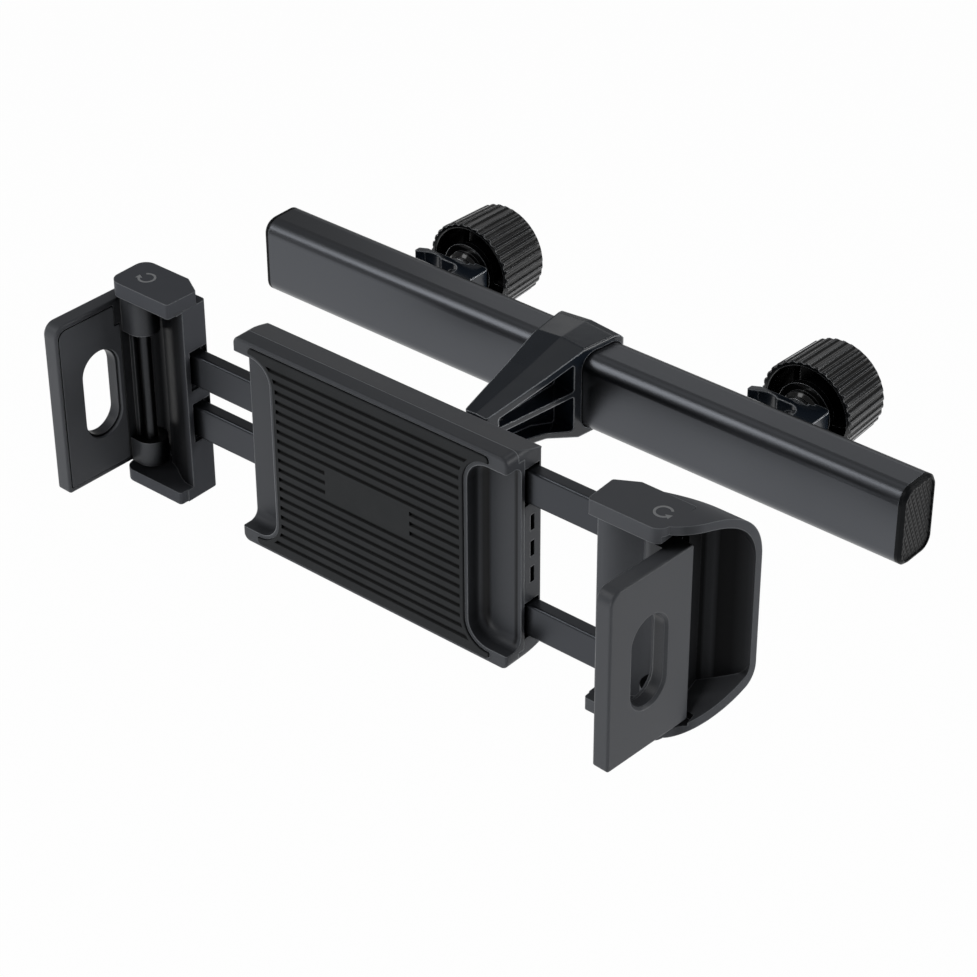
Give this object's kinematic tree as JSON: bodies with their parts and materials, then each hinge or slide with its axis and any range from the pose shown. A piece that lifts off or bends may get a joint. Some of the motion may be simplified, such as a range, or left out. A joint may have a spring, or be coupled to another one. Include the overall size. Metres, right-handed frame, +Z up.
{
  "type": "headrest tablet mount",
  "caption": "Tablet holder for a car headrest: cross bar with knob clamps, sliding arm on a ball joint, and a spreading holder with folding side flaps and a pull handle.",
  "frame": {"origin": "axis of the cross bar, midway between the two headrest clamps", "axes": "+X along the cross bar, +Y toward the headrest posts, +Z up; the tablet faces -Y"},
  "size_m": [0.2522, 0.168, 0.0726],
  "materials": {
    "bar_aluminium": "black anodised, satin",
    "cap_plastic": "moulded with a fine hatch",
    "bracket_plastic": "polished black moulding",
    "knob_plastic": "semi-gloss black, fluted",
    "housing_plastic": "fine textured black",
    "pad_silicone": "soft matt black",
    "rail_metal": "satin black coating",
    "plain_steel": "zinc plated",
    "black_steel": "black oxide",
    "slide_plastic": "low-friction acetal"
  },
  "bodies": {
    "bar": {"cross_bar": "bar_aluminium", "end_cap_left": "cap_plastic", "end_cap_right": "cap_plastic"},
    "bracket": {"slider_bracket": "bracket_plastic", "arm_ball": "plain_steel"},
    "pan_liner": {"inner_liner": "slide_plastic"},
    "tilt_liner": {"outer_liner": "slide_plastic"},
    "holder": {"rear_shell": "housing_plastic", "front_shell": "housing_plastic", "front_pad": "pad_silicone", "housing_screw_1": "black_steel", "housing_screw_2": "black_steel", "housing_screw_3": "black_steel", "housing_screw_4": "black_steel", "left_guide": "slide_plastic", "right_guide": "slide_plastic"},
    "collar": {"collar_nut": "knob_plastic"},
    "left_clamp": {"clamp_slider_left": "slide_plastic", "clamp_bolt_left": "plain_steel", "grip_pad_left": "pad_silicone"},
    "left_jaw": {"clamp_jaw_left": "bracket_plastic", "knob_washer_left": "plain_steel"},
    "left_knob": {"knob_left": "knob_plastic", "knob_nut_left": "plain_steel"},
    "left_arm": {"left_upper_rail": "rail_metal", "left_lower_rail": "rail_metal", "left_clamp_block": "housing_plastic", "left_hinge_pin": "black_steel"},
    "left_leaf": {"left_flap": "housing_plastic", "left_flap_liner": "pad_silicone"},
    "right_clamp": {"clamp_slider_right": "slide_plastic", "clamp_bolt_right": "plain_steel", "grip_pad_right": "pad_silicone"},
    "right_jaw": {"clamp_jaw_right": "bracket_plastic", "knob_washer_right": "plain_steel"},
    "right_knob": {"knob_right": "knob_plastic", "knob_nut_right": "plain_steel"},
    "right_arm": {"right_upper_rail": "rail_metal", "right_lower_rail": "rail_metal", "right_clamp_block": "housing_plastic", "right_hinge_pin": "black_steel"},
    "right_leaf": {"right_flap": "housing_plastic", "right_flap_liner": "pad_silicone"}
  },
  "joints": [
    {"name": "bracket_slide", "type": "slide", "parent": "bar", "child": "bracket", "axis": [1, 0, 0], "range_m": [-0.018, 0.018]},
    {"name": "ball_pan", "type": "hinge", "parent": "bracket", "child": "pan_liner", "pos_m": [0, -0.07, 0.0015], "axis": [0, 0, 1], "range_deg": [-20, 20]},
    {"name": "ball_tilt", "type": "hinge", "parent": "pan_liner", "child": "tilt_liner", "pos_m": [0, -0.07, 0.0015], "axis": [1, 0, 0], "range_deg": [-20, 20]},
    {"name": "ball_roll", "type": "hinge", "parent": "tilt_liner", "child": "holder", "pos_m": [0, -0.07, 0.0015], "axis": [0, 1, 0], "range_deg": [-180, 180]},
    {"name": "collar_turn", "type": "hinge", "parent": "holder", "child": "collar", "pos_m": [0, -0.07, 0.0015], "axis": [0, 1, 0], "range_deg": [0, 90]},
    {"name": "left_clamp_slide", "type": "slide", "parent": "bar", "child": "left_clamp", "axis": [1, 0, 0], "range_m": [-0.025, 0.015]},
    {"name": "left_jaw_slide", "type": "slide", "parent": "left_clamp", "child": "left_jaw", "axis": [0, 1, 0], "range_m": [0, 0.004]},
    {"name": "left_knob_spin", "type": "hinge", "parent": "left_jaw", "child": "left_knob", "pos_m": [-0.0675, 0.035, 0], "axis": [0, 1, 0], "range_deg": [0, 1445]},
    {"name": "left_arm_slide", "type": "slide", "parent": "holder", "child": "left_arm", "axis": [-1, 0, 0], "range_m": [-0.0264, 0.0424]},
    {"name": "left_flap_fold", "type": "hinge", "parent": "left_arm", "child": "left_leaf", "pos_m": [-0.0999, -0.088, 0.0015], "axis": [0, 0, 1], "range_deg": [0, 91.8]},
    {"name": "right_clamp_slide", "type": "slide", "parent": "bar", "child": "right_clamp", "axis": [1, 0, 0], "range_m": [-0.015, 0.025]},
    {"name": "right_jaw_slide", "type": "slide", "parent": "right_clamp", "child": "right_jaw", "axis": [0, 1, 0], "range_m": [0, 0.004]},
    {"name": "right_knob_spin", "type": "hinge", "parent": "right_jaw", "child": "right_knob", "pos_m": [0.0675, 0.035, 0], "axis": [0, 1, 0], "range_deg": [0, 1445]},
    {"name": "right_arm_slide", "type": "slide", "parent": "holder", "child": "right_arm", "axis": [1, 0, 0], "range_m": [-0.027, 0.0418]},
    {"name": "right_flap_fold", "type": "hinge", "parent": "right_arm", "child": "right_leaf", "pos_m": [0.1005, -0.088, 0.0015], "axis": [0, 0, -1], "range_deg": [-5.4, 86.4]}
  ],
  "couplings": [
    {"joint": "left_knob_spin", "follows": "left_jaw_slide", "rad_per_m": 6283.2},
    {"joint": "right_knob_spin", "follows": "right_jaw_slide", "rad_per_m": 6283.2}
  ]
}
